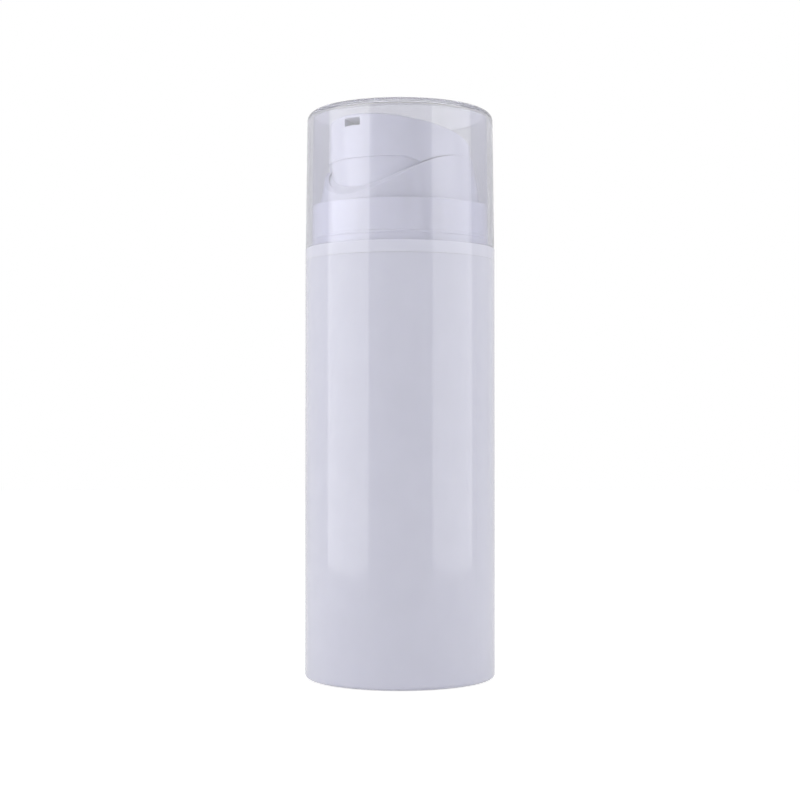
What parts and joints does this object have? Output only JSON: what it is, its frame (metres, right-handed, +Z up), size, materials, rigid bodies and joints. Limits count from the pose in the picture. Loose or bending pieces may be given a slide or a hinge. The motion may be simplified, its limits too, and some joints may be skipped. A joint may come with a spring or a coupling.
{
  "type": "airless pump bottle",
  "caption": "Tall white cylindrical airless pump bottle with a clear pull-off overcap, a slanted press-down actuator and a follower piston that lifts the cream.",
  "frame": {"origin": "centre of the foot of the bottle body, on the surface that it stands on", "axes": "+Z up along the bottle's axis, -Y the way the nozzle points, +X to the right seen from the nozzle side"},
  "size_m": [0.05, 0.05, 0.1485],
  "materials": {
    "white_gloss": "glossy white moulded polypropylene with a cool tint",
    "clear_plastic": "clear glossy moulded plastic with a faint cool tint",
    "natural_matte": "natural moulded polypropylene",
    "soft_matte": "soft moulded polyethylene",
    "gasket": "pale soft gasket",
    "steel": "drawn stainless steel"
  },
  "bodies": {
    "bottle": {"bottle_body": "white_gloss", "base_disc": "natural_matte", "shoulder_collar": "white_gloss", "neck_gasket": "gasket", "pump_housing": "natural_matte", "ball_cage": "natural_matte", "pump_closure": "natural_matte", "return_spring": "steel"},
    "overcap": {"overcap": "clear_plastic"},
    "actuator": {"actuator_head": "white_gloss", "actuator_cowl": "white_gloss", "pump_stem": "natural_matte", "piston_rod": "natural_matte"},
    "seal": {"piston_seal": "soft_matte"},
    "follower": {"follower_piston": "soft_matte"},
    "ball": {"inlet_ball": "steel"}
  },
  "joints": [
    {"name": "overcap_lift", "type": "slide", "parent": "bottle", "child": "overcap", "axis": [0, 0, 1], "range_m": [0, 0.045]},
    {"name": "actuator_press", "type": "slide", "parent": "bottle", "child": "actuator", "axis": [0, 0, -1], "range_m": [0, 0.006], "stiffness_N_per_m": 1100, "springref_m": -0.004, "deforming": ["return_spring"]},
    {"name": "seal_slide", "type": "slide", "parent": "bottle", "child": "seal", "axis": [0, 0, -1], "range_m": [0, 0.005]},
    {"name": "follower_rise", "type": "slide", "parent": "bottle", "child": "follower", "axis": [0, 0, 1], "range_m": [0, 0.08]},
    {"name": "ball_lift", "type": "slide", "parent": "bottle", "child": "ball", "axis": [0, 0, 1], "range_m": [0, 0.0012]}
  ],
  "couplings": [
    {"joint": "seal_slide", "follows": "actuator_press", "ratio": 0.83333}
  ]
}
